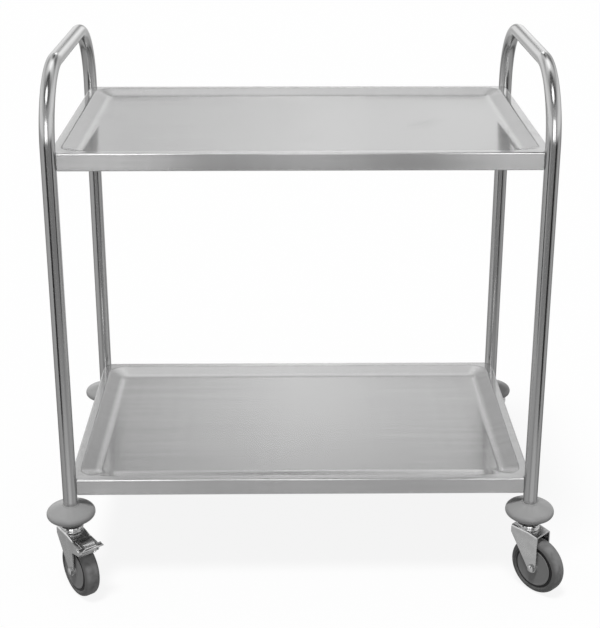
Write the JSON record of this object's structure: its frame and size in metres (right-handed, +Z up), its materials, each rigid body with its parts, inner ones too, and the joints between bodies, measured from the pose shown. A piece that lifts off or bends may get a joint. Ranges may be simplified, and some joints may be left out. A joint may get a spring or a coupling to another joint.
{
  "type": "serving trolley",
  "caption": "Tiered serving trolley: bent tube side frames that form the legs and handles, sunk sheet shelves, round bumpers and swivel castors with foot brakes.",
  "frame": {"origin": "on the floor, midway between the four legs", "axes": "+X along the trolley, to the right seen from its front; +Y towards its back; +Z up"},
  "size_m": [0.9071, 0.6346, 0.94],
  "materials": {
    "polished_tube": "polished stainless",
    "brushed_sheet": "brushed stainless",
    "zinc_steel": "zinc plated",
    "bumper_plastic": "moulded grey",
    "guard_plastic": "moulded grey",
    "core_plastic": "moulded black",
    "tyre_rubber": "dark grey rubber"
  },
  "bodies": {
    "frame": {"left_side_frame": "polished_tube", "right_side_frame": "polished_tube", "upper_shelf": "brushed_sheet", "lower_shelf": "brushed_sheet", "upper_stiffeners": "brushed_sheet", "lower_stiffeners": "brushed_sheet", "upper_saddles": "zinc_steel", "lower_saddles": "zinc_steel", "shelf_bolts": "zinc_steel", "shelf_washers": "zinc_steel", "tube_nuts": "zinc_steel", "leg_plugs": "zinc_steel", "castor_stems": "zinc_steel", "bumper_front_left": "bumper_plastic", "castor_head_front_left": "zinc_steel", "bumper_front_right": "bumper_plastic", "castor_head_front_right": "zinc_steel", "bumper_back_left": "bumper_plastic", "castor_head_back_left": "zinc_steel", "bumper_back_right": "bumper_plastic", "castor_head_back_right": "zinc_steel"},
    "castor_front_left": {"fork_front_left": "zinc_steel", "bearing_balls_front_left": "zinc_steel", "axle_bolt_front_left": "zinc_steel", "axle_nut_front_left": "zinc_steel", "axle_sleeve_front_left": "zinc_steel", "thread_guards_front_left": "guard_plastic", "pedal_pin_front_left": "zinc_steel", "brake_leaf_front_left": "zinc_steel"},
    "wheel_front_left": {"wheel_core_front_left": "core_plastic", "tyre_front_left": "tyre_rubber"},
    "pedal_front_left": {"brake_pedal_front_left": "zinc_steel"},
    "castor_front_right": {"fork_front_right": "zinc_steel", "bearing_balls_front_right": "zinc_steel", "axle_bolt_front_right": "zinc_steel", "axle_nut_front_right": "zinc_steel", "axle_sleeve_front_right": "zinc_steel", "thread_guards_front_right": "guard_plastic"},
    "wheel_front_right": {"wheel_core_front_right": "core_plastic", "tyre_front_right": "tyre_rubber"},
    "castor_back_left": {"fork_back_left": "zinc_steel", "bearing_balls_back_left": "zinc_steel", "axle_bolt_back_left": "zinc_steel", "axle_nut_back_left": "zinc_steel", "axle_sleeve_back_left": "zinc_steel", "thread_guards_back_left": "guard_plastic"},
    "wheel_back_left": {"wheel_core_back_left": "core_plastic", "tyre_back_left": "tyre_rubber"},
    "castor_back_right": {"fork_back_right": "zinc_steel", "bearing_balls_back_right": "zinc_steel", "axle_bolt_back_right": "zinc_steel", "axle_nut_back_right": "zinc_steel", "axle_sleeve_back_right": "zinc_steel", "thread_guards_back_right": "guard_plastic", "pedal_pin_back_right": "zinc_steel", "brake_leaf_back_right": "zinc_steel"},
    "wheel_back_right": {"wheel_core_back_right": "core_plastic", "tyre_back_right": "tyre_rubber"},
    "pedal_back_right": {"brake_pedal_back_right": "zinc_steel"}
  },
  "joints": [
    {"name": "swivel_front_left", "type": "hinge", "parent": "frame", "child": "castor_front_left", "pos_m": [-0.4025, -0.2425, 0.118], "axis": [0, 0, 1], "continuous": true},
    {"name": "spin_front_left", "type": "hinge", "parent": "castor_front_left", "child": "wheel_front_left", "pos_m": [-0.38781, -0.26272, 0.05], "axis": [0.809, 0.5878, 0], "continuous": true},
    {"name": "brake_front_left", "type": "hinge", "parent": "castor_front_left", "child": "pedal_front_left", "pos_m": [-0.37059, -0.28641, 0.10283], "axis": [0.809, 0.5878, 0], "range_deg": [0, 12]},
    {"name": "swivel_front_right", "type": "hinge", "parent": "frame", "child": "castor_front_right", "pos_m": [0.4025, -0.2425, 0.118], "axis": [0, 0, 1], "continuous": true},
    {"name": "spin_front_right", "type": "hinge", "parent": "castor_front_right", "child": "wheel_front_right", "pos_m": [0.41955, -0.26078, 0.05], "axis": [0.7314, 0.682, 0], "continuous": true},
    {"name": "swivel_back_left", "type": "hinge", "parent": "frame", "child": "castor_back_left", "pos_m": [-0.4025, 0.2425, 0.118], "axis": [0, 0, 1], "continuous": true},
    {"name": "spin_back_left", "type": "hinge", "parent": "castor_back_left", "child": "wheel_back_left", "pos_m": [-0.41424, 0.26457, 0.05], "axis": [-0.8829, -0.4695, 0], "continuous": true},
    {"name": "swivel_back_right", "type": "hinge", "parent": "frame", "child": "castor_back_right", "pos_m": [0.4025, 0.2425, 0.118], "axis": [0, 0, 1], "continuous": true},
    {"name": "spin_back_right", "type": "hinge", "parent": "castor_back_right", "child": "wheel_back_right", "pos_m": [0.41307, 0.26516, 0.05], "axis": [-0.9063, 0.4226, 0], "continuous": true},
    {"name": "brake_back_right", "type": "hinge", "parent": "castor_back_right", "child": "pedal_back_right", "pos_m": [0.42544, 0.2917, 0.10283], "axis": [-0.9063, 0.4226, 0], "range_deg": [0, 12]}
  ]
}
